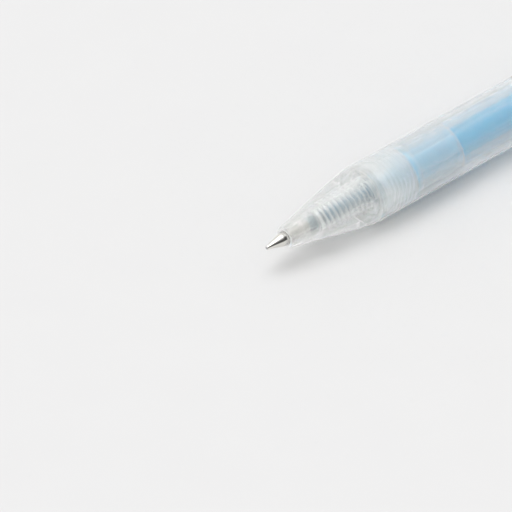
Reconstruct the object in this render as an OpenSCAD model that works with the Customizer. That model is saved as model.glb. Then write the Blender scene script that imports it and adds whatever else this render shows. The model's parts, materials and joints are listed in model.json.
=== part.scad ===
// Retractable gel pen, tip out, lying on a desk.
// Every piece is drawn upright in the pen's own frame: z runs from the writing ball (z = 0)
// to the push button, and +X points at the clip. laid_down() then lays the pen on the desk:
// +X of the part runs from ball to button, +Z is up and the barrel and clip touch z = 0.

/* [Overall] */
// Outer diameter of the barrel
barrel_d = 10.6; // [10.4:0.1:10.8]
// Length from the writing ball to the end of the button, tip out
pen_length = 140.5; // [139.5:0.5:142.5]
// Way that the button and refill move back from tip out to tip in
knock_travel = 5; // [4:0.5:5]
// Further way that the button can be pushed past tip out
over_travel = 1.2; // [0.6:0.1:1.2]

/* [Writing tip] */
// Diameter of the writing ball
ball_d = 0.5; // [0.4:0.1:0.6]
// Diameter of the metal tip behind its cone
tip_d = 2.3; // [2.2:0.05:2.35]
// Distance from the ball's front to the end of the metal cone
tip_cone_z = 3.5; // [3.2:0.1:3.8]
// Distance from the ball's front to the shoulder of the metal tip
tip_shoulder_z = 9.2; // [8.8:0.1:9.4]

/* [Nose cone] */
// Distance from the ball's front to the mouth of the nose
mouth_z = 4.4; // [4:0.1:4.6]
// Diameter of the flat ring around the mouth
mouth_d = 3.5; // [3.4:0.1:3.8]
// Place of the seam between nose and barrel
seam_z = 22.3; // [22:0.1:22.5]
// How far the cone bulges outside a straight line, two thirds of the way back
nose_bulge = 0.13; // [0:0.01:0.16]
// Place of the step that the return spring pushes on
spring_seat_z = 10.6; // [10.4:0.1:10.8]
// Place of the end of the nose's spigot inside the barrel
spigot_end_z = 42.5; // [38:0.5:44]

/* [Screw thread between nose and barrel] */
// Distance from turn to turn
thread_pitch = 0.9; // [0.8:0.05:1]
// Number of turns
thread_turns = 7; // [5:1:7]

/* [Return spring] */
// Diameter of the wire
wire_d = 0.36; // [0.3:0.02:0.38]
// Diameter of the coil, measured between wire centres
coil_d = 3.56; // [3.5:0.02:3.6]
// Number of open turns between the closed ends
open_turns = 11; // [9:1:12]

/* [Refill] */
// Outer diameter of the ink tube
tube_d = 5.4; // [5.2:0.1:5.5]
// Wall of the ink tube
tube_wall = 0.6; // [0.5:0.05:0.7]
// Place of the back end of the ink
ink_end_z = 88; // [60:1:98]
// Length of the grease that follows the ink
follower_length = 5; // [3:0.5:6]

/* [Clip] */
// Width of the clip's arm
clip_w = 4.2; // [3.6:0.1:4.4]
// Height of the clip's outer face above the pen's axis
clip_h = 9; // [8.6:0.1:9.4]
// Place of the clip's free end
clip_front_z = 93; // [92.5:0.5:98]

/* [Hidden] */
$fn = 72;

running = 0.08;   // radial gap of parts that slide or turn in each other
seated = 0.02;    // gap of parts that sit tight on each other
past = 1;         // how far a cut runs past the face it opens
bite = 0.1;       // how deep ribs, fins and ridges root in the wall that carries them

barrel_r = barrel_d / 2;
ball_r = ball_d / 2;
tip_r = tip_d / 2;
wire_r = wire_d / 2;
coil_r = coil_d / 2;
tube_r = tube_d / 2;
ink_r = tube_r - tube_wall;

// metal tip
lip_z = 0.16;          // the ball stands out of the rolled lip by this much
lip_r = ball_r + 0.05;
seat_r = ball_r + 0.01;
needle_r = 0.07;
needle_hole_r = 0.13;
tip_bore_r = 0.6;
tip_bore_z = 2.2;
tip_spigot_r = 1.0;
tip_spigot_end_z = tip_shoulder_z + 4;
tip_coil_r = 0.42;
tip_coil_turns = 9;

// tip holder
holder_r = 1.25;
holder_channel_r = 0.9;
flange_z = 24.2;
flange_t = 0.8;
flange_r = tube_r - 0.15;
tube_front_z = flange_z + flange_t + seated;
plug_end_z = 31.5;

// ink tube and what closes it
tube_end_z = 109;
tail_insert = 3.5;
tail_flange_t = 1;
tail_vent_r = 0.4;
tail_end_z = tube_end_z + tail_flange_t;

// nose cone
mouth_r = mouth_d / 2;
mouth_round = 0.3;
mouth_bore_r = tip_r + 0.1;
front_bore_z = 7.6;
front_bore_r = holder_r + 0.15;
chamber_front_r = coil_r + wire_r + 0.19;
chamber_back_r = 2.6;
chamber_end_z = seam_z - 0.4;
spigot_bore_r = tube_r + 0.3;
cone_steps = 12;
arc_steps = 6;

// thread and the bores that hold it
bore_r = 4.05;
spigot_r = bore_r - running;
thread_bore_r = 4.3;
thread_crest_r = 4.22;
thread_bore_end_z = 32.5;
thread_start_z = 24.6;
pilot_end_z = 24;
ridge_root = 0.4;      // width of a ridge where it leaves the wall
ridge_crest = 0.2;     // width of its top
ridge_steps = 24;      // sections for each turn
run_out_steps = 6;     // sections over which a ridge fades out

// barrel and rear housing
shoulder = 0.1;        // drop from the barrel's side to the seam
shoulder_length = 0.6; // the barrel's front edge curves over this length
draft_z = 90;          // behind this the barrel narrows a little, as it was moulded
rear_r = barrel_r - 0.1;
edge = 0.25;           // bevel of the outer edges
socket_r = 4.7;
socket_z = 106;
barrel_end_z = 112;
housing_end_z = 135.5;
housing_bore_r = 4.15;
button_r = 3.3;
button_hole_r = button_r + running;
sleeve_stop_z = 127.7;

// knock mechanism
fin_width = 24;        // degrees
fins = 3;
fin_turn = 360 / fins / 2;
sleeve_r = housing_bore_r - 0.05;
sleeve_bore_r = 3.6;
sleeve_z = 112.5;
sleeve_end_z = sleeve_stop_z - 0.2;
collar_z = 126.7;
rib_r = 2.65;
rib_z = 118.2;
fin_r = sleeve_bore_r - 0.1;
fin_z = 113.5;
fin_top_z = rib_z - 0.35;
slant_r = 2.9;         // the fins' slant matches their screw motion at this radius
fin_slope = knock_travel / (slant_r * PI * fin_turn / 180);
rotor_z = tail_end_z + 0.05;
rotor_foot_r = 2;
rotor_core_r = 2.4;
crown_r = 1.5;
crown_tip_z = 119;
crown_depth = 0.8;
crown_teeth = 6;
stem_r = 1.2;
stem_end_z = 123;
plunger_r = 2.5;
plunger_bore_r = 1.4;
collar_r = plunger_r + running;
plunger_z = crown_tip_z + 0.2;
plunger_end_z = 136;
guide_z = 119.6;
guide_end_z = 121.5;

// button
button_z = sleeve_end_z + over_travel + 0.2;
button_hollow_r = plunger_r + 0.05;
button_hollow_end_z = plunger_end_z + 0.3;
button_round = 1.1;

// clip
clip_t = 1.5;
clip_corner = 0.8;
clip_back_z = 131.4;
bead_r = 1.5;
bead_gap = 0.1;
foot_z = 127.2;
foot_end_z = 130.2;
foot_w = 2.7;
foot_h = 5.6;
foot_gap = 0.22;
boss_z = 125.2;
boss_end_z = 132.4;
boss_w = 5;
boss_h = 7;
boss_round = 0.8;

// how the pen rests: the turn about its own axis at which barrel and clip both touch the desk
corner_h = clip_h - clip_corner;
corner_w = clip_w / 2 - clip_corner;
tilt = asin((barrel_r - clip_corner) / norm([corner_h, corner_w])) - atan(corner_w / corner_h);
clip_reach = corner_h * cos(tilt) + corner_w * sin(tilt) + clip_corner;

module laid_down() {
    translate([-pen_length / 2, (clip_reach - barrel_r) / 2, barrel_r])
        rotate([tilt - 90, 0, 0])
            rotate([0, 90, 0])
                children();
}

// a solid of revolution about z, from [radius, z] points
module turned(points) {
    rotate_extrude() polygon(points);
}

module rod(r, z0, z1) {
    translate([0, 0, z0]) cylinder(r = r, h = z1 - z0);
}

// a slice of a ring, centred on an angle
module fin(r0, r1, z0, z1, angle) {
    rotate([0, 0, angle - fin_width / 2])
        rotate_extrude(angle = fin_width)
            translate([r0, z0]) square([r1 - r0, z1 - z0]);
}

// the space behind a slanted plane through [0, 0, z] that rises towards +Y at fin_slope
module behind_slant(z, angle) {
    size = 20;
    rotate([0, 0, angle])
        translate([0, 0, z])
            rotate([atan(fin_slope), 0, 0])
                translate([0, -size / 2, 0])
                    cube(size);
}

// a bar along z whose cross-section is h0..h1 high and w wide, with its two outer corners round
module bar(h0, h1, w, z0, z1, corner) {
    translate([0, 0, z0]) linear_extrude(z1 - z0) {
        translate([h0, -w / 2]) square([h1 - corner - h0, w]);
        translate([h0, corner - w / 2]) square([h1 - h0, w - 2 * corner]);
        for (side = [-1, 1])
            translate([h1 - corner, side * (w / 2 - corner)]) circle(r = corner);
    }
}

// Swept forms. A path point is [radius, angle, z].
function at(p) = [p[0] * cos(p[1]), p[0] * sin(p[1]), p[2]];
function unit(v) = v / norm(v);
function tangent(path, i) =
    unit(at(path[min(i + 1, len(path) - 1)]) - at(path[max(i - 1, 0)]));
function outwards(path, i) =
    let (t = tangent(path, i), out = [cos(path[i][1]), sin(path[i][1]), 0])
    unit(out - (out * t) * t);
function wire_ring(path, i, r, sides) =
    let (n = outwards(path, i), b = cross(tangent(path, i), n))
    [for (k = [0:sides - 1])
        at(path[i]) + r * (cos(360 * k / sides) * n + sin(360 * k / sides) * b)];

// joins rings of points, each with the same number of sides, into one closed skin
module skin(rings) {
    sides = len(rings[0]);
    last = len(rings) - 1;
    polyhedron(
        points = [for (ring = rings) for (p = ring) p],
        faces = concat(
            [[for (k = [0:sides - 1]) k]],
            [for (i = [0:last - 1]) for (k = [0:sides - 1])
                let (a = i * sides + k, b = i * sides + (k + 1) % sides)
                each [[a, a + sides, b], [b, a + sides, b + sides]]],
            [[for (k = [sides - 1:-1:0]) last * sides + k]]));
}

module wire(path, r, sides) {
    skin([for (i = [0:len(path) - 1]) wire_ring(path, i, r, sides)]);
}

// A helical ridge from a wall at root_r to crest_r; shift moves it along the pen. Its ends fade.
module thread(root_r, crest_r, shift) {
    steps = thread_turns * ridge_steps;
    outer = crest_r > root_r;
    sink_r = root_r + (outer ? -bite : bite);
    skin([for (i = [0:steps])
        let (
            fade = min(1, i / run_out_steps, (steps - i) / run_out_steps),
            crest = sink_r + (crest_r - sink_r) * max(fade, 0.1),
            z = thread_start_z + shift + thread_pitch * i / ridge_steps,
            section = [[sink_r, -ridge_root / 2], [crest, -ridge_crest / 2],
                [crest, ridge_crest / 2], [sink_r, ridge_root / 2]],
            angle = 360 * i / ridge_steps
        )
        [for (k = outer ? [3:-1:0] : [0:3]) at([section[k][0], angle, z + section[k][1]])]
    ]);
}

module writing_ball() {
    color("silver") translate([0, 0, ball_r]) sphere(r = ball_r);
}

module tip_socket() {
    color("lightgrey") difference() {
        turned([[0, lip_z], [lip_r, lip_z], [tip_r, tip_cone_z], [tip_r, tip_shoulder_z],
            [tip_spigot_r, tip_shoulder_z], [tip_spigot_r, tip_spigot_end_z],
            [0, tip_spigot_end_z]]);
        translate([0, 0, ball_r]) sphere(r = seat_r);
        rod(needle_hole_r, ball_r, tip_bore_z + past);
        rod(tip_bore_r, tip_bore_z, tip_spigot_end_z + past);
    }
}

// a fine coil whose front end runs straight down the middle and pushes on the ball
module tip_spring() {
    front_z = ball_d + 0.05;
    bend_z = tip_bore_z + 0.1;
    coil_z = bend_z + 0.25;
    coil_end_z = tip_shoulder_z - 0.2;
    steps = 12;
    bend_steps = 8;
    path = concat(
        [[0, 0, front_z], [0, 0, (front_z + bend_z) / 2]],
        [for (i = [0:bend_steps - 1])
            let (u = i / bend_steps, s = u * u * (3 - 2 * u))
            [tip_coil_r * s, 180 * u, bend_z + (coil_z - bend_z) * u]],
        [for (i = [0:tip_coil_turns * steps])
            [tip_coil_r, 180 + 360 * i / steps,
                coil_z + (coil_end_z - coil_z) * i / (tip_coil_turns * steps)]]);
    color("silver") wire(path, needle_r, 6);
}

module tip_holder() {
    color("whitesmoke") difference() {
        turned([[0, tip_shoulder_z + seated], [holder_r - 0.1, tip_shoulder_z + seated],
            [holder_r, tip_shoulder_z + 0.4], [holder_r, flange_z], [flange_r, flange_z],
            [flange_r, flange_z + flange_t], [ink_r - seated, flange_z + flange_t],
            [ink_r - seated, plug_end_z], [0, plug_end_z]]);
        rod(tip_spigot_r + seated, tip_shoulder_z - past, tip_spigot_end_z + 0.1);
        rod(holder_channel_r, tip_shoulder_z, plug_end_z + past);
    }
}

// two closed turns at each end lie flat on the seats, the rest are open
module return_spring() {
    steps = 20;
    closed_turns = 2;
    closed_pitch = wire_d * 1.06;
    z0 = spring_seat_z + wire_r + seated;
    z1 = flange_z - wire_r - seated;
    open_pitch = (z1 - z0 - 2 * closed_turns * closed_pitch) / open_turns;
    turns = open_turns + 2 * closed_turns;
    path = [for (i = [0:turns * steps])
        let (t = i / steps, opened = max(0, min(t - closed_turns, open_turns)))
        [coil_r, 360 * t, z0 + opened * open_pitch + (t - opened) * closed_pitch]];
    color("gainsboro") wire(path, wire_r, 6);
}

module ink_tube() {
    color([0.93, 0.96, 0.98, 0.4]) difference() {
        rod(tube_r, tube_front_z, tube_end_z);
        rod(ink_r, tube_front_z - past, tube_end_z + past);
    }
}

module ink_column() {
    color([0.05, 0.45, 0.8]) {
        rod(holder_channel_r - seated, tip_spigot_end_z + 0.15, plug_end_z + 0.1);
        rod(ink_r - seated, plug_end_z + seated, ink_end_z);
    }
}

module ink_follower() {
    color([0.9, 0.93, 0.85, 0.6])
        rod(ink_r - seated, ink_end_z + seated, ink_end_z + follower_length);
}

module tail_plug() {
    color("whitesmoke") difference() {
        turned([[0, tube_end_z - tail_insert], [ink_r - 0.2, tube_end_z - tail_insert],
            [ink_r - seated, tube_end_z - tail_insert + 0.5], [ink_r - seated, tube_end_z + seated],
            [tube_r, tube_end_z + seated], [tube_r, tail_end_z], [0, tail_end_z]]);
        rod(tail_vent_r, tube_end_z - tail_insert - past, tail_end_z + past);
    }
}

// a nearly straight cone from the mouth's rounding to the seam, as outline points
function cone_outline() =
    let (z0 = mouth_z + mouth_round, z1 = seam_z - seated,
        r0 = mouth_r + mouth_round * 0.6, r1 = barrel_r - shoulder)
    [for (i = [0:cone_steps])
        let (u = i / cone_steps, full = 6.75 * u * u * (1 - u))
        [r0 + (r1 - r0) * u + nose_bulge * full, z0 + (z1 - z0) * u]];

// the barrel's front edge, from the seam to its straight side, as outline points
function shoulder_outline() =
    [for (i = [0:arc_steps])
        let (a = 90 * i / arc_steps)
        [barrel_r - shoulder * (1 - sin(a)), seam_z + shoulder_length * (1 - cos(a))]];

module nose_cone() {
    color([0.9, 0.93, 0.95, 0.4]) difference() {
        union() {
            turned(concat(
                [[0, mouth_z], [mouth_r, mouth_z]],
                cone_outline(),
                [[thread_crest_r, seam_z - seated], [thread_crest_r, pilot_end_z],
                    [spigot_r, pilot_end_z],
                    [spigot_r, spigot_end_z], [0, spigot_end_z]]));
            thread(spigot_r, thread_crest_r, 0);
        }
        rod(mouth_bore_r, mouth_z - past, spigot_end_z);
        rod(front_bore_r, front_bore_z, spigot_end_z);
        turned([[0, spring_seat_z], [chamber_front_r, spring_seat_z],
            [chamber_back_r, chamber_end_z], [spigot_bore_r, chamber_end_z + 0.2],
            [spigot_bore_r, spigot_end_z + past], [0, spigot_end_z + past]]);
    }
}

module barrel() {
    color([0.9, 0.94, 0.96, 0.4]) {
        difference() {
            turned(concat([[0, seam_z]], shoulder_outline(),
                [[barrel_r, draft_z], [rear_r, barrel_end_z], [0, barrel_end_z]]));
            rod(thread_bore_r, seam_z - past, thread_bore_end_z);
            rod(bore_r, thread_bore_end_z - past, socket_z + past);
            rod(socket_r, socket_z, barrel_end_z + past);
        }
        thread(thread_bore_r, bore_r, thread_pitch / 2);
    }
}

module rear_housing() {
    color([0.9, 0.94, 0.96, 0.5]) difference() {
        union() {
            turned([[0, socket_z + 0.1], [socket_r - 0.05, socket_z + 0.1],
                [socket_r - 0.05, barrel_end_z + seated], [rear_r, barrel_end_z + seated],
                [rear_r, housing_end_z - 2 * edge], [rear_r - 2 * edge, housing_end_z],
                [0, housing_end_z]]);
            bar(housing_bore_r + 0.3, boss_h, boss_w, boss_z, boss_end_z, boss_round);
        }
        rod(housing_bore_r, socket_z - past, sleeve_stop_z);
        rod(button_hole_r, sleeve_stop_z - past, housing_end_z + past);
        translate([foot_h - foot_gap, -foot_w / 2 - foot_gap, foot_z - foot_gap])
            cube([boss_h, foot_w + 2 * foot_gap, foot_end_z - foot_z + 2 * foot_gap]);
    }
}

// the ribs hold the rotor's fins tip out; between them the fins run back, tip in
module cam_sleeve() {
    color("whitesmoke") {
        difference() {
            rod(sleeve_r, sleeve_z, sleeve_end_z);
            rod(sleeve_bore_r, sleeve_z - past, collar_z);
            rod(collar_r, collar_z - past, sleeve_end_z + past);
        }
        for (i = [0:fins - 1])
            intersection() {
                fin(rib_r, sleeve_bore_r + bite, fin_z, collar_z + bite, 360 * i / fins);
                behind_slant(rib_z, 360 * i / fins);
            }
    }
}

// V cuts across a tube's end at tip_z, which leave a ring of teeth
module crown_cuts(tip_z) {
    side = crown_depth * sqrt(2);
    for (i = [0:crown_teeth - 1])
        rotate([0, 0, 360 * (i + 0.5) / crown_teeth])
            translate([0, 0, tip_z])
                rotate([0, 90, 0])
                    rotate([0, 0, 45])
                        translate([-side / 2, -side / 2, 0])
                            cube([side, side, plunger_r + past]);
}

module rotor_cam() {
    color("whitesmoke") {
        difference() {
            turned([[0, rotor_z], [rotor_foot_r, rotor_z], [rotor_foot_r, fin_z - 1],
                [rotor_core_r, fin_z - 0.6], [rotor_core_r, crown_tip_z],
                [crown_r, crown_tip_z], [crown_r, crown_tip_z - 2 * crown_depth],
                [0, crown_tip_z - 2 * crown_depth]]);
            crown_cuts(crown_tip_z);
        }
        rod(stem_r, crown_tip_z - 2 * crown_depth - 0.5, stem_end_z);
        for (i = [0:fins - 1])
            difference() {
                fin(rotor_core_r - bite, fin_r, fin_z, rib_z + 2, 360 * i / fins);
                behind_slant(fin_top_z, 360 * i / fins);
            }
    }
}

module plunger() {
    color("whitesmoke") {
        difference() {
            rod(plunger_r, plunger_z, plunger_end_z);
            rod(plunger_bore_r, plunger_z - past, plunger_end_z + past);
            crown_cuts(plunger_z);
        }
        for (i = [0:fins - 1])
            fin(plunger_r - bite, fin_r, guide_z, guide_end_z, fin_turn + 360 * i / fins);
    }
}

function button_round_outline() =
    [for (i = [0:arc_steps])
        let (a = 90 * i / arc_steps)
        [button_r - button_round * (1 - cos(a)), pen_length - button_round * (1 - sin(a))]];

module push_button() {
    color([0.55, 0.78, 0.93]) difference() {
        turned(concat([[0, button_z], [button_r, button_z]], button_round_outline(),
            [[0, pen_length]]));
        rod(button_hollow_r, button_z - past, button_hollow_end_z);
    }
}

module clip_side() {
    bead_h = barrel_r + bead_gap + bead_r;
    end_r = clip_t / 2;
    end_z = clip_front_z + end_r;
    translate([clip_h - clip_t, end_z]) square([clip_t, clip_back_z - end_r - end_z]);
    for (z = [end_z, clip_back_z - end_r])
        translate([clip_h - end_r, z]) circle(r = end_r);
    translate([bead_h, end_z + bead_r]) circle(r = bead_r);
    translate([bead_h, end_z]) square([clip_h - end_r - bead_h, 2 * bead_r]);
}

module clip() {
    color([0.9, 0.94, 0.96, 0.5]) {
        intersection() {
            bar(barrel_r, clip_h, clip_w, clip_front_z, clip_back_z, clip_corner);
            translate([0, clip_w, 0]) rotate([90, 0, 0]) linear_extrude(2 * clip_w) clip_side();
        }
        translate([foot_h, -foot_w / 2, foot_z])
            cube([clip_h - clip_t - foot_h + 0.2, foot_w, foot_end_z - foot_z]);
    }
}

laid_down() writing_ball();
laid_down() tip_socket();
laid_down() tip_spring();
laid_down() tip_holder();
laid_down() return_spring();
laid_down() ink_tube();
laid_down() ink_column();
laid_down() ink_follower();
laid_down() tail_plug();
laid_down() nose_cone();
laid_down() barrel();
laid_down() rear_housing();
laid_down() cam_sleeve();
laid_down() rotor_cam();
laid_down() plunger();
laid_down() push_button();
laid_down() clip();
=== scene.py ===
import json
import math

import bmesh
import bpy
from mathutils import Matrix, Vector


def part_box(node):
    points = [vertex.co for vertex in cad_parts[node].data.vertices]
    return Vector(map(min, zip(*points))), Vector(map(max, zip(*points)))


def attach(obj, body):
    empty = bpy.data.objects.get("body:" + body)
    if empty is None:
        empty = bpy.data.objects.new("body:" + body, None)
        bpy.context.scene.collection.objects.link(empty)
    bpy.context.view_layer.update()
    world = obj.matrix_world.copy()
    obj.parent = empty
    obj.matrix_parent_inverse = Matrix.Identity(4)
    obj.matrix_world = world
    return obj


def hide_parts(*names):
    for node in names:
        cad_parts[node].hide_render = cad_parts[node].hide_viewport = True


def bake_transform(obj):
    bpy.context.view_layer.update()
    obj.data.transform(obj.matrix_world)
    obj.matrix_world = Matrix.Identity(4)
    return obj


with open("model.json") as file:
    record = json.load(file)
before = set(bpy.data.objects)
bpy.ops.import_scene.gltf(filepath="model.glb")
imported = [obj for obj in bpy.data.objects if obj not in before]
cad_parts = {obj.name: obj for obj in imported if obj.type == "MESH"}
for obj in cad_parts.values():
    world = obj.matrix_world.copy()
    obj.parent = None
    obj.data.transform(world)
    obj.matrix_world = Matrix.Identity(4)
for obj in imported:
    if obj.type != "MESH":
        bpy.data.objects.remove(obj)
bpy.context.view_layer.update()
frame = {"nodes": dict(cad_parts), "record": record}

# Lengths are millimetres in the pen's own frame until place() turns them into the part's metres:
# z runs along the pen from the writing ball, h towards the clip, y across.
MM = 0.001
TAU = 2 * math.pi
joints = {j["name"]: j for j in frame["record"]["behaviour"]["joints"]}
# the cam turns about the pen's axis, and its joint stands where z is 0
ORIGIN = Vector(joints["rotor_turn"]["pos_m"])
# the clip swings about a line across the pen
FLEX = Vector(joints["clip_flex"]["axis"]).normalized()
ALONG = Vector((1, 0, 0))
CLIPWARD = Vector((0, -FLEX.z, FLEX.y))
ACROSS = -FLEX


def place(z, h, y):
    return ORIGIN + MM * (z * ALONG + h * CLIPWARD + y * ACROSS)


def span(node):
    """A node's front, back and outer radius, from its box"""
    lo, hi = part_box(node)
    return (lo[0] - ORIGIN.x) / MM, (hi[0] - ORIGIN.x) / MM, (hi[2] - lo[2]) / 2 / MM


# ---------------------------------------------------------------- mesh making

def rounded(corners, steps=5):
    """Outline points from corners (z, r) or (z, r, fillet) of a loop"""
    points = []
    for i, corner in enumerate(corners):
        p = Vector(corner[:2])
        fillet = corner[2] if len(corner) > 2 else 0
        if not fillet:
            points.append(p)
            continue
        a = (Vector(corners[i - 1][:2]) - p).normalized()
        b = (Vector(corners[(i + 1) % len(corners)][:2]) - p).normalized()
        half = a.angle(b) / 2
        reach = fillet / math.tan(half)
        centre = p + (a + b).normalized() * fillet / math.sin(half)
        start, end = p + a * reach - centre, p + b * reach - centre
        turn = math.atan2(start.x * end.y - start.y * end.x, start.dot(end))
        for k in range(steps + 1):
            w = turn * k / steps
            points.append(centre + Vector((start.x * math.cos(w) - start.y * math.sin(w),
                                           start.x * math.sin(w) + start.y * math.cos(w))))
    return points


SHARP = 38          # degrees at an edge, above which it is shaded sharp


def shade(mesh, sharp):
    """Smooth faces, with sharp edges where they meet at more than that many degrees"""
    mesh.polygons.foreach_set("use_smooth", [True] * len(mesh.polygons))
    mesh.set_sharp_from_angle(angle=math.radians(sharp))


def finished(name, bm, sharp=SHARP):
    """Object from a bmesh"""
    bmesh.ops.recalc_face_normals(bm, faces=bm.faces)
    mesh = bpy.data.meshes.new(name)
    bm.to_mesh(mesh)
    bm.free()
    shade(mesh, sharp)
    obj = bpy.data.objects.new(name, mesh)
    bpy.context.scene.collection.objects.link(obj)
    return obj


def lofted(name, rings, loop_rings=False, sharp=SHARP):
    """Skin over rings of points; a ring of one point closes an end"""
    bm = bmesh.new()
    rows = [[bm.verts.new(p) for p in ring] for ring in rings]
    following = rows[1:] + rows[:1] if loop_rings else rows[1:]
    for a, b in zip(rows, following):
        n = max(len(a), len(b))
        for k in range(n):
            j = (k + 1) % n
            corners = dict.fromkeys((a[k % len(a)], a[j % len(a)], b[j % len(b)], b[k % len(b)]))
            if len(corners) > 2:
                bm.faces.new(list(corners))
    if not loop_rings:
        for end in (rows[0], rows[-1]):
            if len(end) > 2:
                bm.faces.new(end)
    return finished(name, bm, sharp)


def turned(name, outline, relief=None, segments=160, sharp=SHARP):
    """Solid of revolution from (z, r) points; relief moves a point by its place and angle"""
    rings = []
    for z, r in outline:
        if r < 1e-6:
            rings.append([place(z, 0, 0)])
            continue
        ring = []
        for k in range(segments):
            a = TAU * k / segments
            pz, pr = relief(z, r, a) if relief else (z, r)
            ring.append(place(pz, pr * math.cos(a), pr * math.sin(a)))
        rings.append(ring)
    closed = len(rings[0]) > 1 and len(rings[-1]) > 1
    return lofted(name, rings, closed, sharp)


def run(z0, z1, r, step):
    """Evenly spaced outline points along a cylinder"""
    n = max(1, round(abs(z1 - z0) / step))
    return [(z0 + (z1 - z0) * k / n, r) for k in range(n + 1)]


def swept(name, path, radius, sides=12):
    """Round wire along points (z, h, y) that stay off the pen's axis, with narrowed ends"""
    points = [Vector(p) for p in path]
    rings = []
    last = len(points) - 1
    for i, p in enumerate(points):
        t = (points[min(i + 1, last)] - points[max(i - 1, 0)]).normalized()
        out = Vector((0, p.y, p.z)).normalized()
        n = (out - out.dot(t) * t).normalized()
        b = t.cross(n)
        size = radius * (0.6 if i in (0, last) else 1)
        rings.append([place(*(p + size * (math.cos(TAU * k / sides) * n + math.sin(TAU * k / sides) * b)))
                      for k in range(sides)])
    return lofted(name, rings)


def smooth(x):
    """Rises softly from 0 to 1 as x does"""
    x = min(1.0, max(0.0, x))
    return x * x * (3 - 2 * x)


def thread(z_start, turns, pitch, root, crest, low, high):
    """Relief of a helical ridge on the rows between z low and high at the root radius"""
    flat, foot = 0.1, 0.36      # half the ridge's width at its crest and at its foot
    fade = 0.25                 # turns over which its ends rise

    def relief(z, r, a):
        if not low <= z <= high or abs(r - root) > 0.01:
            return z, r
        raised = 0.0
        start = z_start + pitch * a / TAU
        for k in (math.floor((z - start) / pitch), math.ceil((z - start) / pitch)):
            turn = k + a / TAU
            if not 0 <= turn <= turns:
                continue
            height = 1 - smooth((abs(z - start - k * pitch) - flat) / (foot - flat))
            raised = max(raised, height * smooth(turn / fade) * smooth((turns - turn) / fade))
        return z, r + (crest - root) * raised
    return relief


def boxed(name, h0, h1, w, z0, z1, bevel, segments=4):
    """Block with rounded edges"""
    bm = bmesh.new()
    corners = [place(z, h, y) for z in (z0, z1) for h in (h0, h1) for y in (-w / 2, w / 2)]
    v = [bm.verts.new(c) for c in corners]
    for quad in ((0, 1, 3, 2), (4, 6, 7, 5), (0, 4, 5, 1), (2, 3, 7, 6), (0, 2, 6, 4), (1, 5, 7, 3)):
        bm.faces.new([v[k] for k in quad])
    if bevel:
        bmesh.ops.bevel(bm, geom=bm.edges[:], offset=bevel * MM, segments=segments, profile=0.5,
                        affect="EDGES")
    return finished(name, bm)


def combine(obj, other, operation, sharp=30):
    """Joins a solid to another or cuts it out, for good"""
    mod = obj.modifiers.new("combine", "BOOLEAN")
    mod.operation = operation
    mod.solver = "EXACT"
    mod.object = other
    depsgraph = bpy.context.evaluated_depsgraph_get()
    mesh = bpy.data.meshes.new_from_object(obj.evaluated_get(depsgraph))
    obj.modifiers.clear()
    obj.data = mesh
    bpy.data.objects.remove(other)
    shade(mesh, sharp)


# ---------------------------------------------------------------- materials

NOISE_LOW, NOISE_HIGH = 0.3, 0.7        # most of a noise's values lie between these
WAVE_LENGTH = TAU / 20                  # of a wave texture whose scale is 1
looks = {}


def material(name, color, rough, other, *, wander, grain, stretch=1.0, bump=0.0, rings=0.0,
             **sockets):
    """Principled material: colour and roughness drift with a noise, a finer noise gives the
    surface its grain, stretched along the pen where it was drawn, and rings are turning marks.
    Lengths are in millimetres"""
    mat = bpy.data.materials.new(name)
    mat.use_nodes = True
    nodes, links = mat.node_tree.nodes, mat.node_tree.links
    bsdf = nodes["Principled BSDF"]
    for key, value in sockets.items():
        bsdf.inputs[key.replace("_", " ").title().replace("Ior", "IOR")].default_value = value
    coords = nodes.new("ShaderNodeTexCoord")

    def noise(size, detail, long=1.0):
        mapping = nodes.new("ShaderNodeMapping")
        mapping.inputs["Scale"].default_value = (1 / (size * long * MM), 1 / (size * MM), 1 / (size * MM))
        tex = nodes.new("ShaderNodeTexNoise")
        tex.inputs["Scale"].default_value = 1
        tex.inputs["Detail"].default_value = detail
        links.new(coords.outputs["Object"], mapping.inputs["Vector"])
        links.new(mapping.outputs["Vector"], tex.inputs["Vector"])
        return tex.outputs["Fac"]

    def ranged(source, low, high):
        node = nodes.new("ShaderNodeMapRange")
        for key, value in (("From Min", NOISE_LOW), ("From Max", NOISE_HIGH), ("To Min", low),
                           ("To Max", high)):
            node.inputs[key].default_value = value
        links.new(source, node.inputs["Value"])
        return node.outputs["Result"]

    drift = noise(grain * 6, 3)
    mix = nodes.new("ShaderNodeMix")
    mix.data_type = "RGBA"
    mix.inputs["A"].default_value = (*color, 1)
    mix.inputs["B"].default_value = (*other, 1)
    links.new(ranged(drift, 0, 1), mix.inputs["Factor"])
    links.new(mix.outputs["Result"], bsdf.inputs["Base Color"])
    links.new(ranged(drift, rough - wander, rough + wander), bsdf.inputs["Roughness"])
    if bump:
        node = nodes.new("ShaderNodeBump")
        node.inputs["Strength"].default_value = 1
        node.inputs["Distance"].default_value = bump * MM
        links.new(noise(grain, 4, stretch), node.inputs["Height"])
        if rings:
            wave = nodes.new("ShaderNodeTexWave")
            wave.bands_direction = "X"
            wave.inputs["Scale"].default_value = WAVE_LENGTH / (rings * MM)
            wave.inputs["Distortion"].default_value = 0.4
            links.new(coords.outputs["Object"], wave.inputs["Vector"])
            second = nodes.new("ShaderNodeBump")
            second.inputs["Strength"].default_value = 1
            second.inputs["Distance"].default_value = bump * MM
            links.new(wave.outputs["Fac"], second.inputs["Height"])
            links.new(second.outputs["Normal"], node.inputs["Normal"])
        links.new(node.outputs["Normal"], bsdf.inputs["Normal"])
    looks[name] = mat


PLASTIC = 1.49      # refractive index
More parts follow.
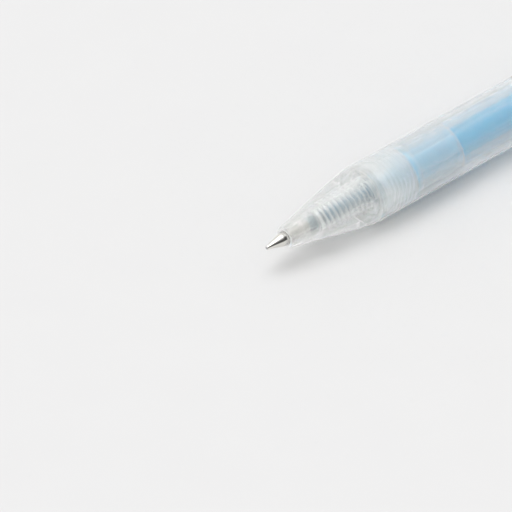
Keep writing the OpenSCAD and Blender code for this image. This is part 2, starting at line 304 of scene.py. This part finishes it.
# the body's plastic is cloudier: its surface is matt, and alpha lets a share of light straight on
moulded = {"ior": 1.38, "sheen_weight": 1.0, "sheen_roughness": 0.38}
material("carbide", (0.5, 0.5, 0.51), 0.12, (0.42, 0.42, 0.43), wander=0.03, grain=0.05,
         bump=0.0004, metallic=1.0)
material("nickel_silver", (0.83, 0.81, 0.77), 0.13, (0.78, 0.76, 0.72), wander=0.04, grain=0.3,
         bump=0.0006, rings=0.09, metallic=1.0)
# painted shade: darker metal than nickel_silver, standing in for the dark band reflected along the tube
# behind the cone
material("painted_shade_tip_tube", (0.71, 0.70, 0.67), 0.13, (0.66, 0.65, 0.62), wander=0.04, grain=0.3,
         bump=0.0006, rings=0.09, metallic=1.0)
material("spring_steel", (0.80, 0.82, 0.82), 0.36, (0.73, 0.75, 0.76), wander=0.03, grain=0.2,
         bump=0.001, metallic=1.0)
# painted shade: the holder's white resin is tinted a darker blue-grey, for the grey core seen inside the
# spring
material("white_resin", (0.60, 0.71, 0.75), 0.2, (0.55, 0.66, 0.71), wander=0.04, grain=0.5,
         bump=0.001, transmission_weight=0.8, ior=PLASTIC)
material("clear_tube", (0.995, 1.0, 1.0), 0.06, (0.97, 0.985, 0.99), wander=0.03, grain=0.8,
         stretch=12, bump=0.001, transmission_weight=1.0, ior=PLASTIC)
material("blue_ink", (0.005, 0.47, 0.72), 0.4, (0.02, 0.50, 0.74), wander=0.05, grain=1.5,
         stretch=6, bump=0.003, specular_ior_level=0.0)
material("grease", (0.93, 0.93, 0.84), 0.2, (0.9, 0.9, 0.8), wander=0.05, grain=0.6,
         bump=0.004, transmission_weight=0.7, ior=PLASTIC)
material("clear_nose", (1.0, 1.0, 0.98), 0.18, (0.985, 0.99, 0.97), wander=0.02, grain=0.7,
         transmission_weight=0.79, alpha=0.6, **moulded)
material("frosted_barrel", (0.992, 1.0, 0.985), 0.2, (0.98, 0.992, 0.98), wander=0.03, grain=0.5,
         stretch=12, bump=0.0015, transmission_weight=0.8, alpha=0.7, **moulded)
material("frosted_housing", (0.99, 1.0, 0.985), 0.2, (0.975, 0.99, 0.978), wander=0.03, grain=0.5,
         stretch=12, bump=0.0015, transmission_weight=0.72, alpha=0.75, **moulded)
material("moulded_inside", (1.0, 1.0, 0.985), 0.12, (0.99, 0.995, 0.98), wander=0.03, grain=0.8,
         transmission_weight=0.87, alpha=0.6, **moulded)
material("moulded_end", (1.0, 1.0, 1.0), 0.2, (0.98, 0.985, 0.985), wander=0.03, grain=0.3,
         transmission_weight=0.6, alpha=0.8, **moulded)
material("white_acetal", (0.87, 0.88, 0.88), 0.36, (0.8, 0.82, 0.83), wander=0.08, grain=0.5,
         bump=0.003, subsurface_weight=0.1)
material("blue_button", (0.16, 0.46, 0.75), 0.3, (0.12, 0.40, 0.70), wander=0.06, grain=0.35,
         bump=0.004, ior=PLASTIC)
material("frosted_clip", (0.99, 1.0, 1.0), 0.2, (0.97, 0.985, 0.99), wander=0.03, grain=0.5,
         stretch=8, bump=0.0015, transmission_weight=0.7, alpha=0.8, **moulded)
node_slots = {s["node"]: s["material_slot"] for s in frame["record"]["subparts"]}
STEPS_R = 4.25      # a shell's ends and steps are frosted inside this radius


def finish_piece(obj, node, body, shell=False, frosted=(0, 0)):
    """Gives a piece its finish and body, and lets it stand for its CAD node. A moulded shell is
    frosted on the inner ends and steps that face along the pen and between the two places in
    frosted, and clearer behind them and on the faces towards the pen's axis"""
    obj.data.materials.clear()
    obj.data.materials.append(looks[node_slots[node]])
    if shell:
        obj.data.materials.append(looks["moulded_inside"])
        obj.data.materials.append(looks["moulded_end"])
        for face in obj.data.polygons:
            out = face.center - ORIGIN
            z = out.x / MM
            out.x = 0
            worked = frosted[0] < z < frosted[1]
            behind = z > frosted[1] > 0
            if worked or abs(face.normal.x) > 0.97 and out.length < STEPS_R * MM:
                face.material_index = 2
            elif behind or face.normal.dot(out.normalized()) < -0.2:
                face.material_index = 1
    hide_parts(node)
    if body:
        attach(obj, body)


def refinish(obj, look, z):
    """Gives the faces behind z another look"""
    obj.data.materials.append(looks[look])
    for face in obj.data.polygons:
        if face.center.x - ORIGIN.x > z * MM:
            face.material_index = 1


# ---------------------------------------------------------------- pieces: refill

WALL = 0.6          # ink tube's wall
SEATED = 0.02       # gap between pieces that are pressed together
RUNNING = 0.08      # gap between pieces that slide

tip_front, tip_back, tip_r = span("tip_socket")
nose_front, nose_back, _ = span("nose_cone")
holder_front, holder_back, flange_r = span("tip_holder")
tube_front, tube_back, tube_r = span("ink_tube")
ink_front, ink_back, ink_r = span("ink_column")
grease_front, grease_back, _ = span("ink_follower")
plug_front, plug_back, _ = span("tail_plug")
ball_r = span("writing_ball")[2]
spring_front, spring_back, spring_r = span("return_spring")

CONE_END = 3.45     # the metal cone ends here
SHOULDER = 9.2      # and its tube here
SPIGOT_R = 1.0      # presses into the holder
BORE_FRONT, BORE_R = 2.2, 0.6
seat_r = ball_r + 0.01
LIP_R = 0.30        # the lip rolled over the ball, and the step where it ends
LIP_BACK_R, LIP_END = 0.375, tip_front + 0.35
STEP_R, STEP_END = 0.36, LIP_END + 0.07
# the ball's seat and the bore behind it are closed off from each other
tip_outline = rounded([
    (ball_r, 0.0), (ball_r, seat_r), (tip_front, seat_r, 0.008), (tip_front, LIP_R, 0.03),
    (LIP_END, LIP_BACK_R, 0.05), (STEP_END, STEP_R, 0.03), (CONE_END, tip_r - 0.01, 0.25),
    (SHOULDER, tip_r, 0.06), (SHOULDER, SPIGOT_R, 0.05), (tip_back, SPIGOT_R, 0.15),
    (tip_back, BORE_R, 0.05), (BORE_FRONT, BORE_R), (BORE_FRONT - 0.2, 0.0)])
tip = turned("tip_socket_metal", tip_outline, sharp=45)
finish_piece(tip, "tip_socket", "refill")
# the tube behind the nose's front is painted darker metal than the cone: painted shade for the dark
# reflection that runs along it
refinish(tip, "painted_shade_tip_tube", nose_front)

HOLDER_R = 1.25
socket_r = SPIGOT_R + SEATED
FLANGE = 24.2       # the return spring pushes here
flange_end = FLANGE + 0.8
CHANNEL_R = 0.9
CHANNEL_END = 27.5
THIN_TAIL = 30      # behind this the holder is a thin tube full of ink
WETTED = 0.01       # ink and pressed-in resin touch the tube, so no air shows between them
plug_fit = tube_r - WALL + WETTED
tail_bore = ink_r - 0.3
holder = turned("tip_holder_moulded", rounded([
    (holder_front, socket_r, 0.03), (holder_front, HOLDER_R - 0.1, 0.03),
    (holder_front + 0.38, HOLDER_R, 0.3), (FLANGE, HOLDER_R, 0.12), (FLANGE, flange_r, 0.1),
    (flange_end, flange_r, 0.1), (flange_end, plug_fit, 0.05), (holder_back, plug_fit, 0.12),
    (holder_back, tail_bore, 0.08), (THIN_TAIL, tail_bore, 1), (CHANNEL_END, CHANNEL_R, 1),
    (tip_back + 0.1, CHANNEL_R), (tip_back + 0.1, socket_r)]))
finish_piece(holder, "tip_holder", "refill")
# pressed into the tube and wet with ink, the tail looks as clear as the tube
refinish(holder, "clear_tube", flange_end + 0.1)

tube = turned("ink_tube_clear", rounded([
    (tube_front, tube_r, 0.12), (tube_back, tube_r, 0.12), (tube_back, tube_r - WALL, 0.1),
    (tube_front, tube_r - WALL, 0.1)]))
finish_piece(tube, "ink_tube", "refill")

stem_r = CHANNEL_R - SEATED
FEED_R = 0.3        # only a thread of ink reaches the tip
FEED_END = spring_front + 0.8
filled_r = ink_r + SEATED + WETTED
sliver_end = holder_back + 0.12     # a sliver of air behind the holder shines as a ring
DISH_R = 0.9        # the ink's dished end, and the grease that fills it
ink = turned("ink_gel", rounded([
    (ink_front, 0.0), (ink_front, FEED_R), (FEED_END, FEED_R), (FEED_END + 0.2, stem_r, 0.1),
    (CHANNEL_END, stem_r, 1), (THIN_TAIL, tail_bore + WETTED, 1), (sliver_end, tail_bore + WETTED),
    (sliver_end, filled_r), (ink_back, filled_r), (ink_back - 0.9, DISH_R, 1.5), (ink_back - 1.1, 0.0)]))
finish_piece(ink, "ink_column", "refill")

grease = turned("grease_follower", rounded([
    (grease_front - 1.08, 0.0), (grease_front - 0.88, DISH_R, 1.5), (grease_front, filled_r),
    (grease_back, filled_r), (grease_back - 0.8, 1.0, 1.2), (grease_back - 1.0, 0.0)]))
finish_piece(grease, "ink_follower", "refill")

VENT_R = 0.4
plug_shoulder = tube_back + SEATED
plug = turned("tail_plug_moulded", rounded([
    (plug_front, ink_r - 0.2, 0.1), (plug_front + 0.5, ink_r, 0.3), (plug_shoulder, ink_r, 0.03),
    (plug_shoulder, tube_r, 0.08), (plug_back, tube_r, 0.18), (plug_back, VENT_R, 0.1),
    (plug_front, VENT_R, 0.1)]))
finish_piece(plug, "tail_plug", "refill")

# ---------------------------------------------------------------- return spring

SPRING_STEPS = 40       # points to a turn
WIRE_R = 0.18
CLOSED, OPEN = 2, 11    # turns: closed at each end, open between
mean_r = spring_r - WIRE_R
z0, z1 = spring_front + WIRE_R, spring_back - WIRE_R
closed_pitch = 2 * WIRE_R * 1.06    # closed turns all but touch
open_pitch = (z1 - z0 - 2 * CLOSED * closed_pitch) / OPEN
path = []
for i in range((OPEN + 2 * CLOSED) * SPRING_STEPS + 1):
    t = i / SPRING_STEPS
    opened = min(max(t - CLOSED, 0), OPEN)
    z = z0 + opened * open_pitch + (t - opened) * closed_pitch
    path.append((z, mean_r * math.cos(TAU * t), mean_r * math.sin(TAU * t)))
spring = swept("return_spring_wire", path, WIRE_R)
finish_piece(spring, "return_spring", None)
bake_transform(spring)

# ---------------------------------------------------------------- nose and barrel

SHELL_SEGMENTS = 192
barrel_front, barrel_back, barrel_r = span("barrel")
seam_r = barrel_r - 0.1
PITCH = joints["nose_travel"]["range_m"][1] / MM / (joints["nose_turn"]["range_deg"][1] / 360)
TURNS = 7
THREAD_START = 24.6
THREAD_END = 32.5   # the barrel's thread bore ends here
FINE = 0.045        # row spacing that draws a thread
MALE_ROOT_R, MALE_CREST_R = 3.97, 4.22
PILOT_END = 24.0    # ahead of the thread the nose fills the barrel's mouth
MOUTH_R, MOUTH_BORE_R = 1.75, 1.25
FRONT_BORE = 7.6    # the bore widens here, for the holder
front_bore_r = HOLDER_R + 0.15
SPRING_SEAT = 10.6
CHAMBER_END = 21.9  # the spring's chamber widens towards here
CHAMBER_FRONT_R, CHAMBER_BACK_R = 2.15, 2.6
SPIGOT_BORE_R = 3.0
CONE_FRONT_R = 1.93
SWELL = 0.13        # how far the cone bulges outside a straight line
SWELL_PEAK = 27 / 4     # brings the peak of u * u * (1 - u) to 1
CONE_STEPS = 32
cone_start = nose_front + 0.3
cone_end = barrel_front - 0.06
cone = []
for k in range(CONE_STEPS + 1):
    u = k / CONE_STEPS
    swell = SWELL * SWELL_PEAK * u * u * (1 - u)
    cone.append((cone_start + (cone_end - 0.1 - cone_start) * u,
                 CONE_FRONT_R + (seam_r - CONE_FRONT_R) * u + swell))
nose_outline = rounded(
    [(nose_front, MOUTH_BORE_R, 0.08), (nose_front, MOUTH_R, 0.1)] + cone
    + [(cone_end, seam_r - 0.02, 0.1), (cone_end, MALE_CREST_R, 0.05), (PILOT_END, MALE_CREST_R, 0.1)]
    + run(PILOT_END, THREAD_END - 0.1, MALE_ROOT_R, FINE)
    + [(nose_back, MALE_ROOT_R, 0.2), (nose_back, SPIGOT_BORE_R, 0.15),
       (CHAMBER_END + 0.2, SPIGOT_BORE_R, 0.3), (CHAMBER_END, CHAMBER_BACK_R, 0.2),
       (SPRING_SEAT, CHAMBER_FRONT_R, 0.12), (SPRING_SEAT, front_bore_r, 0.08),
       (FRONT_BORE, front_bore_r, 0.12), (FRONT_BORE, MOUTH_BORE_R, 0.08)])
male = thread(THREAD_START, TURNS, PITCH, MALE_ROOT_R, MALE_CREST_R, PILOT_END + 0.01, THREAD_END - 0.1)
nose = turned("nose_cone_clear", nose_outline, male, segments=SHELL_SEGMENTS)
MALE_END = 31.4     # the thread has run out, and the clear spigot begins
finish_piece(nose, "nose_cone", "nose", True, (PILOT_END, MALE_END))

FEMALE_ROOT_R, BARREL_BORE_R = 4.3, 4.05
female_start = barrel_front + 0.3
DRAFT_START = 90    # behind this the barrel narrows a little
SOCKET_FRONT, SOCKET_R = 106, 4.7
SHOULDER_STEPS = 8
shoulder = []
for k in range(SHOULDER_STEPS + 1):
    a = TAU / 4 * k / SHOULDER_STEPS
    shoulder.append((barrel_front + 0.6 * (1 - math.cos(a)),
                     seam_r + (barrel_r - seam_r) * math.sin(a)))
barrel_outline = rounded(
    shoulder + [(DRAFT_START, barrel_r, 30), (barrel_back, seam_r, 0.08), (barrel_back, SOCKET_R, 0.06),
                (SOCKET_FRONT, SOCKET_R, 0.1), (SOCKET_FRONT, BARREL_BORE_R, 0.08),
                (THREAD_END, BARREL_BORE_R, 0.05)]
    + run(THREAD_END - 0.03, female_start, FEMALE_ROOT_R, FINE) + [(barrel_front, FEMALE_ROOT_R, 0.08)])
female = thread(THREAD_START + PITCH / 2, TURNS, PITCH, FEMALE_ROOT_R, BARREL_BORE_R, female_start,
                THREAD_END - 0.04)
barrel = turned("barrel_frosted", barrel_outline, female, segments=SHELL_SEGMENTS)
finish_piece(barrel, "barrel", "housing", True)

# ---------------------------------------------------------------- rear housing and knock

rear_front, rear_back, _ = span("rear_housing")
button_front, button_back, button_r = span("push_button")
sleeve_front, sleeve_back, sleeve_r = span("cam_sleeve")
rotor_front, rotor_back, _ = span("rotor_cam")
plunger_front, plunger_back, _ = span("plunger")
insert_r = SOCKET_R - 0.05      # the housing's front end sits in the barrel
step = barrel_back + SEATED     # and its step behind the barrel
housing_bore = sleeve_r + 0.05
button_hole_r = button_r + RUNNING
STOP = sleeve_back + 0.2        # the cam sleeve seats here
END_ROUND = 0.6
housing = turned("rear_housing_frosted", rounded([
    (rear_front, insert_r, 0.15), (step, insert_r, 0.05), (step, seam_r, 0.1),
    (rear_back - END_ROUND, seam_r, 0.5), (rear_back, seam_r - END_ROUND, 0.3),
    (rear_back, button_hole_r, 0.15), (STOP, button_hole_r, 0.1), (STOP, housing_bore, 0.15),
    (rear_front, housing_bore, 0.15)]), segments=SHELL_SEGMENTS)
# the clip's foot stands in a pocket of the boss
CLIP_H, CLIP_T, CLIP_W = 9.0, 1.5, 4.2
FOOT_FRONT, FOOT_BACK, FOOT_W = 127.2, 130.2, 2.7
FOOT_H = 5.6
FOOT_ROOM = 0.22
boss = boxed("boss", 4.5, 7.0, 5.0, FOOT_FRONT - 2, FOOT_BACK + 2.2, 0.8)
combine(housing, boss, "UNION")
pocket = boxed("pocket", FOOT_H - FOOT_ROOM, CLIP_H, FOOT_W + 2 * FOOT_ROOM,
               FOOT_FRONT - FOOT_ROOM, FOOT_BACK + FOOT_ROOM, 0)
combine(housing, pocket, "DIFFERENCE")
finish_piece(housing, "rear_housing", "housing", True)

KNOCK_SEGMENTS = 180            # a multiple of the fins and the crown's teeth
FINS = 3
FIN = math.radians(12)          # half a fin's width
knock_travel = joints["knock"]["range_m"][1] / MM
SLANT_R = 2.9                   # the fins' slant matches the cam's turn at this radius
slope = knock_travel / (SLANT_R * TAU / FINS / 2)
FIN_EDGE = 0.03                 # radians over which a fin's side rises
SLEEVE_BORE_R = 3.6
RIB_RISE, RIB_FRONT = 0.95, 118.2
COLLAR, COLLAR_R = 126.7, 2.58


def near_fin(a, offset=0.0):
    """Angle from the nearest fin"""
    share = TAU / FINS
    return (a - offset + share / 2) % share - share / 2


def sleeve_relief(z, r, a):
    if abs(r - SLEEVE_BORE_R) > 0.01 or z > COLLAR - 0.1:
        return z, r
    d = near_fin(a)
    slanted = RIB_FRONT + SLANT_R * math.sin(d) * slope
    inside = smooth((FIN + 0.02 - abs(d)) / FIN_EDGE) * smooth((z - slanted) / 0.25)
    return z, r - RIB_RISE * inside


sleeve = turned("cam_sleeve_acetal", rounded(
    [(sleeve_front, sleeve_r, 0.12), (sleeve_back, sleeve_r, 0.12), (sleeve_back, COLLAR_R, 0.05),
     (COLLAR, COLLAR_R, 0.05)] + run(COLLAR - 0.05, sleeve_front + 0.1, SLEEVE_BORE_R, 0.12)
    + [(sleeve_front, SLEEVE_BORE_R, 0.05)]), sleeve_relief, segments=KNOCK_SEGMENTS)
finish_piece(sleeve, "cam_sleeve", "housing")

CROWN_TIP, CROWN_DEPTH, TEETH = 119.0, 0.8, 6
CROWN_R = 1.5           # the crown's inner radius
CORE_FRONT = 112.5      # ahead of this the cam is a little thinner
CORE_FRONT_R, CORE_R, STEM_R = 2.0, 2.4, 1.2
FIN_RISE, FIN_FRONT, FIN_TOP = 1.1, 113.45, 117.85


def tooth(a):
    """Height of the crown's teeth, 0 in a notch and 1 at a tip"""
    share = TAU / TEETH
    return 1 - abs((a % share) / share * 2 - 1)


def rotor_relief(z, r, a):
    if abs(r - CORE_R) < 0.01 and FIN_FRONT - 0.05 < z < CROWN_TIP - 0.4:
        d = near_fin(a)
        out = smooth((FIN + 0.01 - abs(d)) / FIN_EDGE) * smooth((z - FIN_FRONT) / 0.1)
        out *= smooth((FIN_TOP + SLANT_R * math.sin(d) * slope - z) / 0.2)
        return z, r + FIN_RISE * out
    if z > CROWN_TIP - 0.01 and CROWN_R - 0.05 < r < CORE_R + 0.05:
        return z - CROWN_DEPTH * (1 - 2 * abs(tooth(a) - 0.5)), r
    return z, r


rotor = turned("rotor_cam_acetal", rounded(
    [(rotor_front, 0.0), (rotor_front, CORE_FRONT_R, 0.1), (CORE_FRONT, CORE_FRONT_R),
     (CORE_FRONT + 0.4, CORE_R)]
    + run(FIN_FRONT - 0.25, FIN_TOP + 0.15, CORE_R, 0.1)
    + [(CROWN_TIP, CORE_R), (CROWN_TIP, CROWN_R), (CROWN_TIP - 1.6, CROWN_R), (CROWN_TIP - 1.6, STEM_R),
       (rotor_back, STEM_R, 0.3), (rotor_back, 0.0)]), rotor_relief, segments=KNOCK_SEGMENTS)
finish_piece(rotor, "rotor_cam", "rotor")

PLUNGER_R, PLUNGER_BORE_R = 2.5, 1.4
GUIDE_FRONT, GUIDE_BACK, GUIDE_RISE = 119.55, 121.55, 1.0     # they run between the sleeve's ribs


def plunger_relief(z, r, a):
    if abs(r - PLUNGER_R) < 0.01 and GUIDE_FRONT <= z <= GUIDE_BACK:
        d = near_fin(a, TAU / FINS / 2)
        ends = smooth((z - GUIDE_FRONT) / 0.15) * smooth((GUIDE_BACK - z) / 0.15)
        return z, r + GUIDE_RISE * smooth((FIN + 0.01 - abs(d)) / FIN_EDGE) * ends
    return z, r


plunger = turned("plunger_acetal", rounded(
    [(plunger_front, PLUNGER_BORE_R), (plunger_front, PLUNGER_R)]
    + run(GUIDE_FRONT - 0.05, GUIDE_BACK + 0.15, PLUNGER_R, 0.07)
    + [(plunger_back, PLUNGER_R, 0.3), (plunger_back, PLUNGER_BORE_R, 0.15)]),
    plunger_relief, segments=KNOCK_SEGMENTS)
finish_piece(plunger, "plunger", "knock")

hollow_r = PLUNGER_R + 0.05     # the plunger's head sits in the button
hollow_end = plunger_back + 0.3
DOME = 0.12                     # the button's end is domed by this much
button = turned("push_button_blue", rounded([
    (button_front, hollow_r, 0.08), (button_front, button_r, 0.1), (button_back - DOME, button_r, 1.05),
    (button_back, 0.9, 4.0), (button_back, 0.0), (hollow_end, 0.0), (hollow_end, hollow_r, 0.2)]),
    segments=SHELL_SEGMENTS)
finish_piece(button, "push_button", "knock")

# ---------------------------------------------------------------- clip

clip_front, clip_back, _ = span("clip")
SHOULDER_R, EDGE_R = 0.8, 0.25
BEAD_R, BEAD_H = 1.5, 6.9
END_R = CLIP_T / 2
bead_z = clip_front + END_R + BEAD_R


def clip_ring(z, sides=10):
    """Cross-section of the clip's arm: flat below except at the bead, round shoulders above"""
    near_end = min(z - clip_front, clip_back - z)
    dip = END_R - math.sqrt(max(0.0, END_R ** 2 - max(0.0, END_R - near_end) ** 2))
    top, bottom = CLIP_H - dip, CLIP_H - CLIP_T + dip
    off = abs(z - bead_z)
    if off < BEAD_R:
        bottom = min(bottom, BEAD_H - math.sqrt(BEAD_R ** 2 - off ** 2))
    half = CLIP_W / 2 - (SHOULDER_R - math.sqrt(SHOULDER_R ** 2 - max(0.0, SHOULDER_R - near_end) ** 2))
    edge = min(EDGE_R, (top - bottom) / 2 * 0.9)
    corner = min(SHOULDER_R, (top - bottom - edge) * 0.95, half)
    ring = []
    for quarter, (y, h, radius) in enumerate((
            (half - corner, top - corner, corner), (corner - half, top - corner, corner),
            (edge - half, bottom + edge, edge), (half - edge, bottom + edge, edge))):
        for k in range(sides + 1):
            a = TAU / 4 * (quarter + k / sides)
            ring.append(place(z, h + radius * math.sin(a), y + radius * math.cos(a)))
    return ring


END_STEPS, ARM_STEPS = 8, 24
arm_start = bead_z + BEAD_R + 0.05
arm_length = clip_back - END_R - arm_start
rise = [END_R * (1 - math.cos(TAU / 4 * k / END_STEPS)) for k in range(END_STEPS + 1)]
rise[0] = 0.01      # so that the end sections aren't flat
stations = [clip_front + r for r in rise]
stations += [bead_z - BEAD_R * math.cos(TAU / 2 * k / ARM_STEPS) for k in range(1, ARM_STEPS + 1)]
stations += [arm_start + arm_length * k / ARM_STEPS for k in range(ARM_STEPS + 1)]
stations += [clip_back - r for r in reversed(rise[:-1])]
clip = lofted("clip_frosted", [clip_ring(z) for z in stations], sharp=35)
foot = boxed("foot", FOOT_H, CLIP_H - 0.8, FOOT_W, FOOT_FRONT, FOOT_BACK, 0.12, 2)
combine(clip, foot, "UNION", 35)
finish_piece(clip, "clip", "clip")

# ---------------------------------------------------------------- CAD nodes that stay

for node in ("writing_ball", "tip_spring"):
    obj = frame["nodes"][node]
    obj.data.materials.clear()
    obj.data.materials.append(looks[node_slots[node]])

# ---------------------------------------------------------------- floor, light, camera

floor_mesh = bpy.data.meshes.new("floor")
HALF = 1.5          # metres
floor_mesh.from_pydata([(-HALF, -HALF, 0), (HALF, -HALF, 0), (HALF, HALF, 0), (-HALF, HALF, 0)], [],
                       [(0, 1, 2, 3)])
floor = bpy.data.objects.new("floor", floor_mesh)
bpy.context.scene.collection.objects.link(floor)
material("desk", (0.664, 0.662, 0.662), 0.6, (0.659, 0.657, 0.657), wander=0.05, grain=2,
         bump=0.004, specular_ior_level=0.1)
floor_mesh.materials.append(looks["desk"])

AZIMUTH, ELEVATION = math.radians(-44.3), math.radians(34.8)
RIGHT = Vector((math.cos(AZIMUTH), math.sin(AZIMUTH), 0))
BACK = Vector((math.sin(AZIMUTH) * math.cos(ELEVATION), -math.cos(AZIMUTH) * math.cos(ELEVATION),
               math.sin(ELEVATION)))
UP = BACK.cross(RIGHT)
DISTANCE = 1.2      # metres
FIELD = 0.0848      # metres from the picture's left edge to its right edge, at the tip
TIP_RIGHT, TIP_UP = 0.00166, 0.00124    # metres from the picture's middle to the tip
aim = place(0, 0, 0) - TIP_RIGHT * RIGHT - TIP_UP * UP
data = bpy.data.cameras.new("camera")
data.lens = data.sensor_width * DISTANCE / FIELD
data.clip_end = 20
camera = bpy.data.objects.new("camera", data)
turn = Matrix((RIGHT, UP, BACK)).transposed().to_4x4()
camera.matrix_world = Matrix.Translation(aim + DISTANCE * BACK) @ turn
bpy.context.scene.collection.objects.link(camera)
bpy.context.scene.camera = camera

world = bpy.data.worlds.new("studio")
bpy.context.scene.world = world
world.use_nodes = True
nodes, links = world.node_tree.nodes, world.node_tree.links
coords = nodes.new("ShaderNodeTexCoord")
dot = nodes.new("ShaderNodeVectorMath")
dot.operation = "DOT_PRODUCT"
DARK_SIDE = Vector((0.51, -0.82, 0.26)).normalized()
dot.inputs[1].default_value = DARK_SIDE
links.new(coords.outputs["Generated"], dot.inputs[0])
lobe = nodes.new("ShaderNodeMapRange")
lobe.interpolation_type = "SMOOTHSTEP"
DARK_TO, DARK_FROM = math.radians(28), math.radians(50)
for key, value in (("From Min", math.cos(DARK_FROM)), ("From Max", math.cos(DARK_TO)),
                   ("To Min", 0), ("To Max", -1)):
    lobe.inputs[key].default_value = value
links.new(dot.outputs["Value"], lobe.inputs["Value"])
# a black flag stands on the dark side: bare metal mirrors it, and everything else hardly sees it
rays = nodes.new("ShaderNodeLightPath")
mirrored = nodes.new("ShaderNodeMath")
mirrored.operation = "SUBTRACT"
mirrored.use_clamp = True
links.new(rays.outputs["Is Glossy Ray"], mirrored.inputs[0])
links.new(rays.outputs["Is Transmission Ray"], mirrored.inputs[1])
# brightness of the room, and what the flag takes from it for bare metal and for everything else
ROOM, FLAG, FILLED = 0.945, 0.855, 0.05
depth = nodes.new("ShaderNodeMapRange")
depth.inputs["To Min"].default_value = FILLED
depth.inputs["To Max"].default_value = FLAG
links.new(mirrored.outputs["Value"], depth.inputs["Value"])
strength = nodes.new("ShaderNodeMath")
strength.operation = "MULTIPLY_ADD"
links.new(lobe.outputs["Result"], strength.inputs[0])
links.new(depth.outputs["Result"], strength.inputs[1])
strength.inputs[2].default_value = ROOM
background = nodes["Background"]
background.inputs["Color"].default_value = (1, 1, 1, 1)
links.new(strength.outputs["Value"], background.inputs["Strength"])

# a wide soft light from above, which leans so that the shadow falls towards the viewer's side
LEAN = math.radians(9)
softbox = bpy.data.lights.new("softbox", "SUN")
softbox.energy = 1.22
softbox.angle = math.radians(44)
lamp = bpy.data.objects.new("softbox", softbox)
lamp.rotation_euler = (-LEAN, 0, 0)
bpy.context.scene.collection.objects.link(lamp)

view = bpy.context.scene.view_settings
view.view_transform = "Standard"
cycles = bpy.context.scene.cycles
# otherwise the metal's reflections blur where it is seen through frosted plastic
cycles.blur_glossy = 0.0
for kind in ("max_bounces", "diffuse_bounces", "glossy_bounces", "transmission_bounces",
             "transparent_max_bounces"):
    setattr(cycles, kind, 32)
